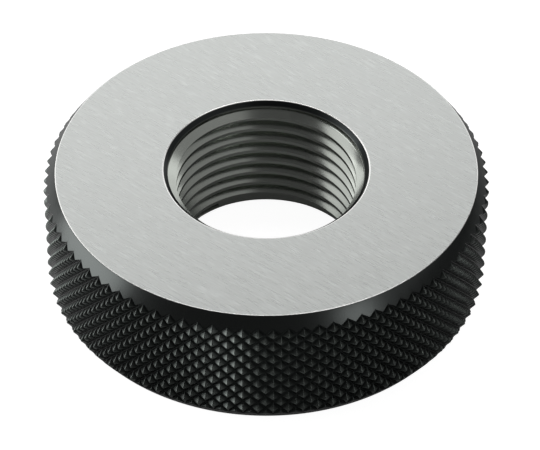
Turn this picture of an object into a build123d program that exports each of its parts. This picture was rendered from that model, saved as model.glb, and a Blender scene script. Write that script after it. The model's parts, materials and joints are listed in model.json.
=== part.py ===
"""Thread ring gauge, M20 x 1.5: a knurled steel ring with an internal thread right through it.

The axis is +Z. The origin is the centre of the lower ground face, and the upper one is at z = thickness.
"""

import os
from math import ceil, cos, pi, radians, sin, sqrt, tan

from build123d import *

# Driving dimensions, in millimetres and degrees
outer_diameter = 45.5  # over the points of the knurl
thickness = 14.0  # between the two ground faces
rim_chamfer_width = 1.3  # across each face, of the chamfer that trims the knurl at both outer corners
rim_chamfer_height = 1.9  # along the axis, of the same chamfer
thread_diameter = 20.0  # nominal size of the thread, its major diameter
thread_pitch = 1.5
mouth_relief = 0.5  # how far each 45 degree mouth chamfer opens past the major radius
knurl_teeth = 94  # points in one row around the rim
knurl_angle = 42.0  # of each groove to the axis
knurl_depth = 0.6  # from the points down to the bottoms of the grooves

outer_radius = outer_diameter / 2
face_radius = outer_radius - rim_chamfer_width
mouth_radius = thread_diameter / 2 + mouth_relief
# The basic profile of a 60 degree thread leaves 5/8 of the sharp triangle's height.
thread_height = 5 / 8 * sqrt(3) / 2 * thread_pitch
bore_radius = thread_diameter / 2 - thread_height
mouth_depth = mouth_radius - bore_radius

tooth_step = 2 * pi / knurl_teeth
tooth_width = outer_radius * tooth_step
row_height = tooth_width / tan(radians(knurl_angle)) / 2


def rim_point(radius, step, row):
    """The point on the rim that lies step half-teeth round and row rows above the middle."""
    angle = step * tooth_step / 2
    return radius * cos(angle), radius * sin(angle), thickness / 2 + row * row_height


def diamond(step, row, lowest, highest):
    """The four facets of one knurl point, or the two of the half that lies inside the knurled length."""
    tip = rim_point(outer_radius, step, row)
    valley_radius = outer_radius - knurl_depth
    left = rim_point(valley_radius, step - 1, row)
    right = rim_point(valley_radius, step + 1, row)
    facets = []
    if row > lowest:
        below = rim_point(valley_radius, step, row - 1)
        facets += [(left, below, tip), (below, right, tip)]
    if row < highest:
        above = rim_point(valley_radius, step, row + 1)
        facets += [(right, above, tip), (above, left, tip)]
    return facets


def knurled_bar():
    """A bar a little longer than the ring, with crossed V grooves that leave pointed diamonds."""
    highest = ceil(thickness / 2 / row_height) + 1
    lowest = -highest
    facets = []
    for row in range(lowest, highest + 1):
        for tooth in range(knurl_teeth):
            facets += diamond(2 * tooth + row % 2, row, lowest, highest)
    for row in (lowest, highest):
        ends = []
        for tooth in range(knurl_teeth):
            step = 2 * tooth + row % 2
            ends.append(rim_point(outer_radius, step, row))
            ends.append(rim_point(outer_radius - knurl_depth, step + 1, row))
        facets.append(ends)
    faces = [Face(Wire.make_polygon(points, close=True)) for points in facets]
    return Solid(Shell(faces))


def turned_ring():
    """The ring as turned: flat faces, both outer chamfers, and the bore with its chamfered mouths."""
    section = Polyline(
        (bore_radius, mouth_depth),
        (mouth_radius, 0),
        (face_radius, 0),
        (outer_radius, rim_chamfer_height),
        (outer_radius, thickness - rim_chamfer_height),
        (face_radius, thickness),
        (mouth_radius, thickness),
        (bore_radius, thickness - mouth_depth),
        close=True,
    )
    return revolve(Plane.XZ * make_face(section), Axis.Z)


ring_gauge = knurled_bar() & turned_ring()

os.makedirs("parts", exist_ok=True)
export_step(ring_gauge, "parts/ring_gauge.step")
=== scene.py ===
"""Looks of a thread ring gauge, M20 x 1.5: ground faces, black knurled rim and the thread itself.

The axis is +Z, and the lower ground face is at z = 0, just over the floor. Lengths are in metres.
"""

import json
from math import ceil, cos, hypot, pi, radians, sin, sqrt, tan

import bmesh
import bpy
from mathutils import Matrix, Vector

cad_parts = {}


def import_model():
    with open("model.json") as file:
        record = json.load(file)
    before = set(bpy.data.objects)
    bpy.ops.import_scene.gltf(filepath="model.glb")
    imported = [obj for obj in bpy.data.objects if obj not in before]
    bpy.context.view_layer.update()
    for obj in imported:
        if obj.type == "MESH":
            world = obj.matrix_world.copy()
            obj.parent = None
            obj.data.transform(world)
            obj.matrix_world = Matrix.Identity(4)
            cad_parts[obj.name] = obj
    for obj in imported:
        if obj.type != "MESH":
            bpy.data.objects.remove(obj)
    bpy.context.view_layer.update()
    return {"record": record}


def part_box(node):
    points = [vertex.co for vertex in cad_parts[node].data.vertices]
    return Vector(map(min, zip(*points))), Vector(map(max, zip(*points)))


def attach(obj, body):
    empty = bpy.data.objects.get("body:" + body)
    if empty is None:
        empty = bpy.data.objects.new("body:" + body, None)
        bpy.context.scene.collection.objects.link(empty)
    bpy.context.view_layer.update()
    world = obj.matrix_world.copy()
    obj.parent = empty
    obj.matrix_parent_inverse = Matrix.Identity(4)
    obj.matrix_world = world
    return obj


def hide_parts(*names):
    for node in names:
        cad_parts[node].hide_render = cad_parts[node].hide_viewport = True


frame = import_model()

MM = 0.001

# The blank, from the frame
low_corner, high_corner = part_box("ring_gauge")
outer_radius = high_corner.x
thickness = high_corner.z - low_corner.z
thread_mount = next(mount for mount in frame["record"]["mounts"] if mount["name"] == "thread")
bore_radius = thread_mount["dims"]["r_mm"] * MM

# Turned and knurled features
RIM_CHAMFER_WIDTH = 1.3 * MM  # across each face, at both outer corners
RIM_CHAMFER_HEIGHT = 1.9 * MM  # along the axis
MOUTH_RELIEF = 0.5 * MM  # how far each 45 degree mouth chamfer opens past the major radius
EDGE_BREAK = 0.08 * MM  # stoned edge of the ground faces
EDGE_STEPS = 3  # facets across a stoned edge
TURNED_STEPS = 564  # round the ring, six for each knurl point
KNURL_TEETH = 94
KNURL_ANGLE = radians(42)  # of each groove to the axis
KNURL_DEPTH = 0.6 * MM
KNURL_WEAR = 0.07 * MM  # taken off the points, which are never quite sharp
BAR_SPARE = 0.6 * MM  # how far the knurled bar stands past each face
face_radius = outer_radius - RIM_CHAMFER_WIDTH

# Thread
PITCH = 1.5 * MM
THREAD_DEPTH = 5 / 8 * sqrt(3) / 2 * PITCH  # of the basic 60 degree profile
FLANK_ANGLE = radians(30)  # of each flank to a plane across the axis
ROOT_WIDTH = PITCH / 8  # flat at the major diameter, before its corners are rounded
ROOT_ROUNDING = 0.05 * MM
ROOT_STEPS = 2  # facets across each rounded corner of the root
CREST_DEPTH = 1.44 * MM  # middle of the first crest below the upper face, at the back on +Y
THREAD_STEPS = 160  # for each turn
SPARE_TURNS = 3  # of the groove's cutter, more than fit in the thickness
TURNS_ABOVE = 2  # of the groove's cutter, those above the first groove's height at +X
CUTTER_REACH = 0.2 * MM  # how far each cutter stands inside the bore
major_radius = bore_radius + THREAD_DEPTH
mouth_radius = major_radius + MOUTH_RELIEF
RELIEF_RADIUS = major_radius + 0.02 * MM  # of the mouths, where the thread's thin end is cut away
RELIEF_HEIGHT = 0.8 * PITCH  # of that cut, along the axis

# Mesh
WELD = 0.001 * MM  # corners of the knurl or of a cutter nearer than this are one
TURNED_WELD = 0.0001 * MM  # the same on the turned ring
SLIVER = 0.0002 * MM  # edges shorter than this are taken out
SHARP_ANGLE = radians(28)  # edges that bend more than this stay sharp

# How a face's finish is told, from the share of its normal that is upright and from its radius
GROUND_UPRIGHT = 0.999
EDGE_UPRIGHT = 0.73  # a little more than that of the mouth chamfer, 0.71
SLOPE_TOLERANCE = 0.01  # either side of the slope of the rim's chamfer
MOUTH_START = RELIEF_RADIUS + 0.015 * MM

# Sockets of a Mix node for colours, which share their names with other sockets
MIX_FACTOR = 0
MIX_DARK = 6
MIX_PALE = 7
MIX_RESULT = 2

# Studio
FLOOR_REACH = 3  # from the middle to each side
FLOOR_GAP = 0.01 * MM  # under the gauge, so that the two don't share a plane
LAMP_DISTANCE = 0.5  # from the top of the gauge
SOFTBOXES = [
    # name, azimuth and elevation in degrees, width, height, radiance
    ("key_left", 178, 13, 0.38, 0.26, 3.6),
    ("panel_behind", 109, 30, 0.54, 0.34, 1.35),
    ("panel_far_right", 59, 17.5, 0.32, 0.28, 1.05),
    ("panel_top", 90, 72, 0.36, 0.14, 3.0),
    ("panel_upper_left", 160, 44, 0.34, 0.24, 1.1),
    ("panel_right", 10, 50, 0.90, 0.60, 0.27),
    ("strip_front_right", -47, 22, 0.13, 0.16, 2.5),
]

# Camera
LOOK_AT = Vector((0.39 * MM, -8.574 * MM, thickness))
CAMERA_ELEVATION = radians(42.903)
CAMERA_DISTANCE = 323.73 * MM
CAMERA_ROLL = radians(0.154)
LENS_MM = 216.76
SENSOR_MM = 36


def linear(colour):
    """An sRGB hex colour as linear red, green, blue and alpha."""
    shades = [int(colour[start:start + 2], 16) / 255 for start in (1, 3, 5)]
    return [s / 12.92 if s <= 0.04045 else ((s + 0.055) / 1.055) ** 2.4 for s in shades] + [1]


def add_node(tree, kind, inputs=None, **settings):
    """Adds a node; each input, named or numbered, is given a socket to link or a value."""
    node = tree.nodes.new(kind)
    for name, value in settings.items():
        setattr(node, name, value)
    for name, value in (inputs or {}).items():
        if isinstance(value, bpy.types.NodeSocket):
            tree.links.new(value, node.inputs[name])
        else:
            node.inputs[name].default_value = value
    return node


# ---------------------------------------------------------------- meshes


def to_object(bm, name):
    """Ends a bmesh as an object at the origin."""
    bmesh.ops.recalc_face_normals(bm, faces=bm.faces[:])
    mesh = bpy.data.meshes.new(name)
    bm.to_mesh(mesh)
    bm.free()
    piece = bpy.data.objects.new(name, mesh)
    bpy.context.scene.collection.objects.link(piece)
    return piece


def everything(bm):
    """All corners, edges and faces of a bmesh."""
    return bm.verts[:] + bm.edges[:] + bm.faces[:]


def copy_up(bm, geom, rise):
    """Adds a copy of part of a bmesh, moved along the axis."""
    copy = bmesh.ops.duplicate(bm, geom=geom)["geom"]
    moved = [part for part in copy if isinstance(part, bmesh.types.BMVert)]
    bmesh.ops.translate(bm, verts=moved, vec=(0, 0, rise))


def knurled_bar():
    """A bar with crossed V grooves that leave pointed diamonds, a little longer than the ring."""
    step = 2 * pi / KNURL_TEETH
    row = outer_radius * step / tan(KNURL_ANGLE) / 2
    valley_radius = outer_radius - KNURL_DEPTH

    def rim_point(radius, half_steps, rows):
        angle = half_steps * step / 2
        return Vector((radius * cos(angle), radius * sin(angle), thickness / 2 + rows * row))

    # The pattern repeats every two diamonds, which lie half a tooth and one row apart.
    bm = bmesh.new()
    for tooth in (0, 1):
        around = [(tooth - 1, tooth), (tooth, tooth - 1), (tooth + 1, tooth), (tooth, tooth + 1)]
        corners = [bm.verts.new(rim_point(valley_radius, *place)) for place in around]
        diamond = bm.faces.new(corners)
        point = bmesh.ops.poke(bm, faces=[diamond])["verts"][0]
        point.co = rim_point(outer_radius, tooth, tooth)
    bmesh.ops.spin(
        bm, geom=everything(bm), cent=(0, 0, 0), axis=(0, 0, 1),
        angle=2 * pi, steps=KNURL_TEETH, use_duplicate=True, use_merge=False,
    )
    bmesh.ops.remove_doubles(bm, verts=bm.verts[:], dist=WELD)
    band = everything(bm)
    band_height = 2 * row
    bands_each_way = ceil(thickness / 2 / band_height) + 1
    for number in range(-bands_each_way, bands_each_way + 1):
        if number:
            copy_up(bm, band, band_height * number)
    bmesh.ops.remove_doubles(bm, verts=bm.verts[:], dist=WELD)
    for height, up in ((thickness + BAR_SPARE, 1), (-BAR_SPARE, -1)):
        cut = bmesh.ops.bisect_plane(
            bm, geom=everything(bm), plane_co=(0, 0, height), plane_no=(0, 0, up),
            clear_outer=True,
        )["geom_cut"]
        rim = [part for part in cut if isinstance(part, bmesh.types.BMEdge)]
        bmesh.ops.contextual_create(bm, geom=rim)
    return to_object(bm, "knurled_bar")


def turned_ring():
    """The ring as turned, with stoned edges; its rim is a little lower than the knurl's points."""
    mouth_depth = mouth_radius - bore_radius
    relief_floor = mouth_depth - (RELIEF_RADIUS - bore_radius) * tan(FLANK_ANGLE)
    rim_radius = outer_radius - KNURL_WEAR
    rim_depth = RIM_CHAMFER_HEIGHT * (rim_radius - face_radius) / RIM_CHAMFER_WIDTH
    half = [
        (bore_radius, thickness - mouth_depth),
        (RELIEF_RADIUS, thickness - relief_floor),
        (RELIEF_RADIUS, thickness - mouth_radius + RELIEF_RADIUS),
        (mouth_radius, thickness),
        (face_radius, thickness),
        (rim_radius, thickness - rim_depth),
    ]
    section = half + [(radius, thickness - height) for radius, height in reversed(half)]
    bm = bmesh.new()
    corners = [bm.verts.new((radius, 0, height)) for radius, height in section]
    for start, end in zip(corners, corners[1:] + corners[:1]):
        bm.edges.new((start, end))
    on_faces = [corner for corner in corners if corner.co.z in (0, thickness)]
    bmesh.ops.bevel(
        bm, geom=on_faces, affect="VERTICES", offset=EDGE_BREAK, offset_type="OFFSET",
        segments=EDGE_STEPS, profile=0.5, material=-1,
    )
    bmesh.ops.spin(
        bm, geom=bm.verts[:] + bm.edges[:], cent=(0, 0, 0), axis=(0, 0, 1),
        angle=2 * pi, steps=TURNED_STEPS, use_merge=True,
    )
    bmesh.ops.remove_doubles(bm, verts=bm.verts[:], dist=TURNED_WELD)
    return to_object(bm, "turned_ring")


def helical_tool(section, azimuth, turns, rounding=0):
    """A closed body: a section of (radius, height) corners, wound up right-handed from an azimuth.

    A rounding is given to the first two corners.
    """
    bm = bmesh.new()
    corners = [
        bm.verts.new((radius * cos(azimuth), radius * sin(azimuth), height))
        for radius, height in section
    ]
    for start, end in zip(corners, corners[1:] + corners[:1]):
        bm.edges.new((start, end))
    if rounding:
        bmesh.ops.bevel(
            bm, geom=corners[:2], affect="VERTICES", offset=rounding, offset_type="OFFSET",
            segments=ROOT_STEPS, profile=0.5, material=-1,
        )
    bmesh.ops.spin(
        bm, geom=bm.verts[:] + bm.edges[:], cent=(0, 0, 0), axis=(0, 0, 1),
        angle=2 * pi, steps=THREAD_STEPS, dvec=(0, 0, PITCH / THREAD_STEPS),
    )
    one_turn = everything(bm)
    for turn in range(1, turns):
        copy_up(bm, one_turn, PITCH * turn)
    bmesh.ops.remove_doubles(bm, verts=bm.verts[:], dist=WELD)
    bmesh.ops.holes_fill(bm, edges=[edge for edge in bm.edges if edge.is_boundary])
    return to_object(bm, "helical_tool")


def groove_height(azimuth):
    """The height of the middle of the groove just above the first crest."""
    turns_from_back = azimuth / (2 * pi) - 1 / 4
    return thickness - CREST_DEPTH + PITCH * (1 / 2 + turns_from_back)


def thread_groove():
    """What the thread cuts away: a right-hand helical groove, a little longer than the bore."""
    inner_radius = bore_radius - CUTTER_REACH
    root = ROOT_WIDTH / 2
    mouth = root + (major_radius - inner_radius) * tan(FLANK_ANGLE)
    turns = ceil(thickness / PITCH) + SPARE_TURNS
    start = groove_height(0) - (turns - TURNS_ABOVE) * PITCH
    section = [
        (major_radius, start - root),
        (major_radius, start + root),
        (inner_radius, start + mouth),
        (inner_radius, start - mouth),
    ]
    return helical_tool(section, 0, turns, ROOT_ROUNDING)


def thread_relief(azimuth, height, rise):
    """A cutter for the thread's thin end: one turn, from the groove's middle towards the mouth."""
    inner_radius = bore_radius - CUTTER_REACH
    section = [
        (RELIEF_RADIUS, height),
        (RELIEF_RADIUS, height + rise),
        (inner_radius, height + rise),
        (inner_radius, height),
    ]
    return helical_tool(section, azimuth, 1)


def machine(work, operation, tool):
    """Cuts the work with a tool, or keeps what is inside it, and puts the tool away."""
    boolean = work.modifiers.new("machining", "BOOLEAN")
    boolean.object = tool
    boolean.operation = operation
    boolean.solver = "MANIFOLD"
    evaluated = work.evaluated_get(bpy.context.evaluated_depsgraph_get())
    machined = bpy.data.meshes.new_from_object(evaluated)
    work.modifiers.clear()
    work.data = machined
    bpy.data.objects.remove(tool)


def finish_of(face):
    """The name of the finish that a face of the gauge has, from its place and its slope."""
    middle = face.calc_center_median()
    radius = hypot(middle.x, middle.y)
    outward = (face.normal.x * middle.x + face.normal.y * middle.y) / radius
    upright = abs(face.normal.z)
    if upright > GROUND_UPRIGHT:
        return "ground"
    if upright > EDGE_UPRIGHT and radius > mouth_radius - EDGE_BREAK:
        return "edge"
    if radius > face_radius - EDGE_BREAK:
        slope = hypot(RIM_CHAMFER_WIDTH, RIM_CHAMFER_HEIGHT)
        steep = abs(upright - RIM_CHAMFER_WIDTH / slope) < SLOPE_TOLERANCE
        straight = abs(outward - RIM_CHAMFER_HEIGHT / slope) < SLOPE_TOLERANCE
        return "chamfer" if steep and straight else "knurl"
    if radius > MOUTH_START:
        return "mouth"
    return "thread"


def gauge_body(finishes):
    """The whole gauge, one piece of steel, with a material for each of its finishes."""
    body = turned_ring()
    body.name = "gauge_body"
    machine(body, "INTERSECT", knurled_bar())
    machine(body, "DIFFERENCE", thread_groove())
    # The cut in the upper mouth starts in front, on -Y. The one in the lower mouth ends where the
    # groove is as far from the lower face as it is from the upper face in front.
    front = radians(-90)
    depth = thickness - groove_height(front)
    lower_turns = (groove_height(front) - depth) / PITCH
    lower_end = front - 2 * pi * (lower_turns % 1)
    machine(body, "DIFFERENCE", thread_relief(front, thickness - depth, RELIEF_HEIGHT))
    machine(body, "DIFFERENCE", thread_relief(lower_end, depth - PITCH, -RELIEF_HEIGHT))
    body.data.name = "gauge_body"
    names = list(finishes)
    body.data.materials.clear()
    for name in names:
        body.data.materials.append(finishes[name])
    bm = bmesh.new()
    bm.from_mesh(body.data)
    bmesh.ops.dissolve_degenerate(bm, edges=bm.edges[:], dist=SLIVER)
    for face in bm.faces:
        face.material_index = names.index(finish_of(face))
        face.smooth = True
    bm.to_mesh(body.data)
    bm.free()
    body.data.set_sharp_from_angle(angle=SHARP_ANGLE)
    shading = body.modifiers.new("flat faces stay flat", "WEIGHTED_NORMAL")
    shading.keep_sharp = True
    return body


# ---------------------------------------------------------------- materials


def new_metal(name):
    """A metal, with its node tree and the Principled shader in it."""
    material = bpy.data.materials.new(name)
    material.use_nodes = True
    tree = material.node_tree
    tree.nodes.clear()
    shader = add_node(tree, "ShaderNodeBsdfPrincipled", {"Metallic": 1})
    add_node(tree, "ShaderNodeOutputMaterial", {"Surface": shader.outputs["BSDF"]})
    return material, tree, shader


def streaks(tree, place, length, width, lean):
    """Noise in streaks across the axis, turned clockwise from +X by the lean, in radians."""
    turned = add_node(tree, "ShaderNodeMapping", {"Vector": place, "Rotation": (0, 0, lean)})
    stretched = add_node(
        tree, "ShaderNodeMapping",
        {"Vector": turned.outputs["Vector"], "Scale": (1 / length, 1 / width, 1 / length)},
    )
    return add_node(
        tree, "ShaderNodeTexNoise",
        {"Vector": stretched.outputs["Vector"], "Scale": 1.0, "Detail": 2.0, "Roughness": 0.6},
    ).outputs["Fac"]


def ground_steel():
    """Hardened tool steel, surface ground: bright, softly reflecting, with the wheel's lay."""
    material, tree, shader = new_metal("surface_ground_tool_steel")
    place = add_node(tree, "ShaderNodeTexCoord").outputs["Object"]
    # The wheel's marks are about 0.02 mm apart and are drawn coarser so that they show.
    lay = streaks(tree, place, length=2.4 * MM, width=0.14 * MM, lean=radians(38))
    flecks = streaks(tree, place, length=1.6 * MM, width=0.3 * MM, lean=radians(42))
    fleck = add_node(
        tree, "ShaderNodeMapRange",
        {"Value": flecks, "From Min": 0.54, "From Max": 0.72, "To Min": 0.0, "To Max": 0.3},
    )
    both = add_node(tree, "ShaderNodeMath", {0: lay, 1: fleck.outputs["Result"]}, operation="ADD")
    ramp = add_node(tree, "ShaderNodeValToRGB", {"Fac": both.outputs["Value"]})
    dark, pale = ramp.color_ramp.elements
    dark.position = 0.3
    dark.color = linear("#B1B3B1")
    pale.position = 0.95
    pale.color = linear("#C4C7C5")
    tree.links.new(ramp.outputs["Color"], shader.inputs["Base Color"])
    rough = add_node(
        tree, "ShaderNodeMapRange",
        {"Value": lay, "From Min": 0.3, "From Max": 0.7, "To Min": 0.26, "To Max": 0.34},
    )
    tree.links.new(rough.outputs["Result"], shader.inputs["Roughness"])
    bump = add_node(
        tree, "ShaderNodeBump", {"Height": lay, "Distance": 0.004 * MM, "Strength": 0.5},
    )
    tree.links.new(bump.outputs["Normal"], shader.inputs["Normal"])
    return material


def plain_metal(name, colour, roughness):
    """A metal of one even colour."""
    material, _, shader = new_metal(name)
    shader.inputs["Base Color"].default_value = linear(colour)
    shader.inputs["Roughness"].default_value = roughness
    return material


def from_axis(tree):
    """The distance from the gauge's axis, in metres."""
    place = add_node(tree, "ShaderNodeTexCoord").outputs["Object"]
    across = add_node(
        tree, "ShaderNodeVectorMath", {0: place, 1: (1, 1, 0)}, operation="MULTIPLY",
    )
    return add_node(
        tree, "ShaderNodeVectorMath", {0: across.outputs["Vector"]}, operation="LENGTH",
    ).outputs["Value"]


def oxide_knurl():
    """Black oxide on the knurl, rounded; darker towards its valleys as painted shade, paler towards
    its points partly from handling wear and partly as painted highlight.
    """
    material, tree, shader = new_metal("black_oxide_knurled")
    darkest_radius = outer_radius - 0.8 * KNURL_DEPTH
    palest_radius = outer_radius - 0.2 * KNURL_DEPTH
    # Painted shade and highlight: the colour darkens towards the valleys, where shade falls, and
    # pales towards the points, partly wear and partly painted highlight.
    wear_and_painted_light = add_node(
        tree, "ShaderNodeMapRange",
        {"Value": from_axis(tree), "From Min": darkest_radius, "From Max": palest_radius},
    )
    # The valley colour is painted shade; the point colour is partly wear and partly painted
    # highlight.
    colour = add_node(
        tree, "ShaderNodeMix",
        {
            MIX_FACTOR: wear_and_painted_light.outputs["Result"], MIX_DARK: linear("#2C2F2E"),
            MIX_PALE: linear("#636865"),
        },
        data_type="RGBA",
    )
    tree.links.new(colour.outputs[MIX_RESULT], shader.inputs["Base Color"])
    shader.inputs["Roughness"].default_value = 0.23
    rounded = add_node(tree, "ShaderNodeBevel", {"Radius": 0.14 * MM}, samples=8)
    tree.links.new(rounded.outputs["Normal"], shader.inputs["Normal"])
    return material


def oxide_mouth():
    """Black oxide in the mouths, paler along the inner edge of each chamfer, partly rubbed and
    partly a painted highlight.
    """
    material, tree, shader = new_metal("black_oxide_mouth")
    band_radius = RELIEF_RADIUS + 0.035 * MM
    band_half_width = 0.02 * MM
    # A thin paler band at each chamfer's inner edge: partly wear and partly a painted highlight
    # where that edge catches the light.
    wear_and_painted_light = add_node(
        tree, "ShaderNodeMath", {0: from_axis(tree), 1: band_radius, 2: band_half_width},
        operation="COMPARE",
    )
    colour = add_node(
        tree, "ShaderNodeMix",
        {
            MIX_FACTOR: wear_and_painted_light.outputs["Value"], MIX_DARK: linear("#323535"),
            MIX_PALE: linear("#505351"),
        },
        data_type="RGBA",
    )
    tree.links.new(colour.outputs[MIX_RESULT], shader.inputs["Base Color"])
    shader.inputs["Roughness"].default_value = 0.3
    return material


# ---------------------------------------------------------------- studio


def softbox(name, azimuth, elevation, width, height, radiance):
    """A rectangular lamp, aimed at the top of the gauge and hidden from the camera."""
    lamp = bpy.data.lights.new(name, "AREA")
    lamp.shape = "RECTANGLE"
    lamp.size = width
    lamp.size_y = height
    lamp.energy = radiance * pi * width * height
    holder = bpy.data.objects.new(name, lamp)
    direction = Vector((
        cos(radians(elevation)) * cos(radians(azimuth)),
        cos(radians(elevation)) * sin(radians(azimuth)),
        sin(radians(elevation)),
    ))
    holder.location = Vector((0, 0, thickness)) + direction * LAMP_DISTANCE
    holder.rotation_euler = direction.to_track_quat("Z", "Y").to_euler()
    holder.visible_camera = False
    bpy.context.scene.collection.objects.link(holder)


def white_background(tree):
    """1 for the rays that see the background: from the camera, in gloss or through glass."""
    path = add_node(tree, "ShaderNodeLightPath")
    either = add_node(
        tree, "ShaderNodeMath",
        {0: path.outputs["Is Camera Ray"], 1: path.outputs["Is Glossy Ray"]}, operation="MAXIMUM",
    )
    return add_node(
        tree, "ShaderNodeMath",
        {0: either.outputs["Value"], 1: path.outputs["Is Transmission Ray"]}, operation="MAXIMUM",
    ).outputs["Value"]


def floor():
    """A plain white floor; in gloss it glows with painted light, bright on the left and dim on the
    right.
    """
    material = bpy.data.materials.new("studio_floor")
    material.use_nodes = True
    tree = material.node_tree
    tree.nodes.clear()
    paint = add_node(tree, "ShaderNodeBsdfDiffuse", {"Color": linear("#A0A0A0")})
    path = add_node(tree, "ShaderNodeLightPath")
    place = add_node(tree, "ShaderNodeTexCoord").outputs["Object"]
    across = add_node(tree, "ShaderNodeSeparateXYZ", {"Vector": place})
    # Painted light: the floor's glow as seen in gloss, strong towards -X and weak towards +X,
    # without a lamp there.
    painted_gloss_glow = add_node(
        tree, "ShaderNodeMapRange",
        {
            "Value": across.outputs["X"], "From Min": -60 * MM, "From Max": -15 * MM,
            "To Min": 0.6, "To Max": 0.04,
        },
    )
    level = add_node(
        tree, "ShaderNodeMapRange",
        {"Value": path.outputs["Is Camera Ray"], "To Min": painted_gloss_glow.outputs["Result"], "To Max": 0.95},
    )
    strength = add_node(
        tree, "ShaderNodeMath", {0: white_background(tree), 1: level.outputs["Result"]},
        operation="MULTIPLY",
    )
    glow = add_node(tree, "ShaderNodeEmission", {"Strength": strength.outputs["Value"]})
    both = add_node(tree, "ShaderNodeAddShader")
    tree.links.new(paint.outputs["BSDF"], both.inputs[0])
    tree.links.new(glow.outputs["Emission"], both.inputs[1])
    add_node(tree, "ShaderNodeOutputMaterial", {"Surface": both.outputs["Shader"]})
    bm = bmesh.new()
    bmesh.ops.create_grid(bm, x_segments=1, y_segments=1, size=FLOOR_REACH)
    bmesh.ops.translate(bm, verts=bm.verts[:], vec=(0, 0, -FLOOR_GAP))
    plane = to_object(bm, "floor")
    plane.data.materials.append(material)


def world():
    """A dark studio, with a white background for the camera."""
    setting = bpy.data.worlds.new("studio")
    setting.use_nodes = True
    tree = setting.node_tree
    tree.nodes.clear()
    path = add_node(tree, "ShaderNodeLightPath")
    strength = add_node(
        tree, "ShaderNodeMapRange",
        {"Value": path.outputs["Is Camera Ray"], "To Min": 0.09, "To Max": 1.0},
    )
    light = add_node(
        tree, "ShaderNodeBackground",
        {"Color": (1, 1, 1, 1), "Strength": strength.outputs["Result"]},
    )
    add_node(tree, "ShaderNodeOutputWorld", {"Surface": light.outputs["Background"]})
    bpy.context.scene.world = setting


def camera():
    """The camera, at the elevation and distance given above, turned a little about its own axis."""
    lens = bpy.data.cameras.new("camera")
    lens.lens = LENS_MM
    lens.sensor_width = SENSOR_MM
    lens.clip_start = 0.01
    holder = bpy.data.objects.new("camera", lens)
    towards = Vector((0, -cos(CAMERA_ELEVATION), sin(CAMERA_ELEVATION)))
    turn = towards.to_track_quat("Z", "Y").to_matrix() @ Matrix.Rotation(CAMERA_ROLL, 3, "Z")
    holder.matrix_world = Matrix.Translation(LOOK_AT + towards * CAMERA_DISTANCE) @ turn.to_4x4()
    bpy.context.scene.collection.objects.link(holder)
    bpy.context.scene.camera = holder


finishes = {
    "ground": ground_steel(),
    # Stoned edges: a hand stone leaves them brighter than the ground faces, and their colour is
    # paler still than steel as a painted highlight along the rim.
    "edge": plain_metal("stoned_edge_with_painted_highlight", "#E6E6E4", 0.24),
    # Black oxide on a turned surface keeps some of its gloss.
    "chamfer": plain_metal("black_oxide_turned", "#494C4B", 0.27),
    "knurl": oxide_knurl(),
    "mouth": oxide_mouth(),
    # Lapped thread flanks are smooth and bright.
    "thread": plain_metal("lapped_thread_steel", "#ABAFA9", 0.2),
}
body = gauge_body(finishes)
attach(body, "root")
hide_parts("ring_gauge")

floor()
world()
for lamp in SOFTBOXES:
    softbox(*lamp)
bpy.context.scene.view_settings.view_transform = "Standard"
camera()
